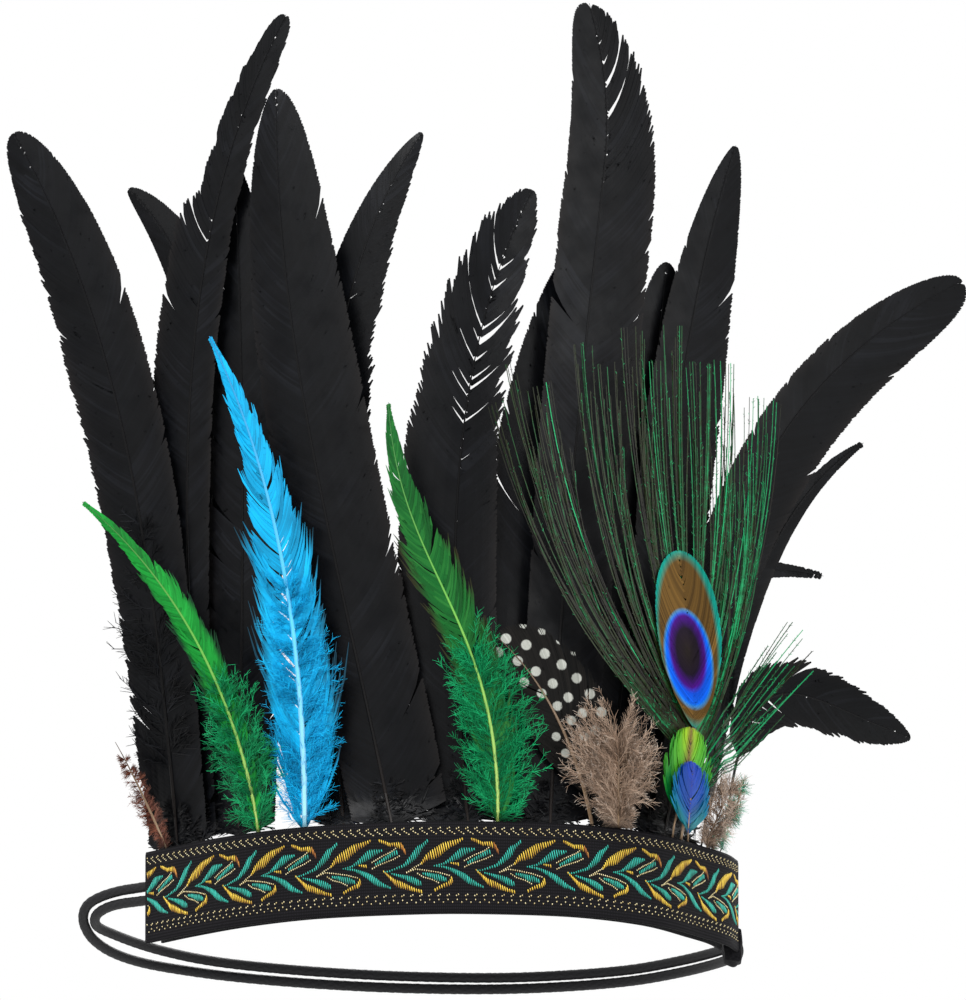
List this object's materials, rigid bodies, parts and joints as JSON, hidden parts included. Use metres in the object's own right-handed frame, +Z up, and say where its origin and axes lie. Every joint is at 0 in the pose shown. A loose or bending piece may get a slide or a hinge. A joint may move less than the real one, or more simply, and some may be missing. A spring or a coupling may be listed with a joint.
{
  "type": "feathered headdress",
  "caption": "Feathered headband: woven leaf-pattern ribbon on two elastic cords with black, green, turquoise, guinea-fowl and peacock feathers standing behind it.",
  "frame": {"origin": "middle of the ring that the ribbon and the elastic cords make, at half the height of the ribbon, where the head goes through", "axes": "+Z up out of the band towards the feather tips, -Y out from the forehead, +X to the wearer's left"},
  "size_m": [0.2617, 0.1538, 0.2578],
  "materials": {
    "ribbon": "woven black ribbon with gold and teal leaf pattern",
    "felt": "black felt",
    "elastic": "braided black elastic cord",
    "black_feather": "black cock feather, soft gloss",
    "green_hackle": "dyed green hackle",
    "turquoise_hackle": "dyed turquoise hackle",
    "spotted_feather": "dark guinea-fowl feather with pale spots",
    "brown_down": "natural brown down",
    "scale_feather": "iridescent peacock body feather",
    "peacock": "iridescent peacock eye and herl"
  },
  "bodies": {
    "root": {"ribbon_band": "ribbon", "backing_strip": "felt", "end_knot": "felt", "elastic_cord_outer": "elastic", "elastic_cord_inner": "elastic", "black_feather_far_left": "black_feather", "black_feather_bent_left": "black_feather", "black_feather_tall_left": "black_feather", "black_feather_behind_left": "black_feather", "black_feather_bent_middle": "black_feather", "black_feather_front_left": "black_feather", "black_feather_centre": "black_feather", "black_feather_wide_behind": "black_feather", "black_feather_tallest": "black_feather", "black_feather_round_tip": "black_feather", "black_feather_right_upright": "black_feather", "black_feather_far_right": "black_feather", "black_feather_thin_right": "black_feather", "black_feather_wisp_right": "black_feather", "black_feather_drooping_right": "black_feather", "rust_down": "brown_down", "green_hackle_left": "green_hackle", "green_hackle_centre": "green_hackle", "turquoise_hackle": "turquoise_hackle", "guinea_fowl_feather": "spotted_feather", "brown_down_front": "brown_down", "brown_down_right": "brown_down", "teal_down_right": "green_hackle", "lime_scale_feather": "scale_feather", "blue_body_feather": "scale_feather", "peacock_feather": "peacock"}
  },
  "joints": []
}
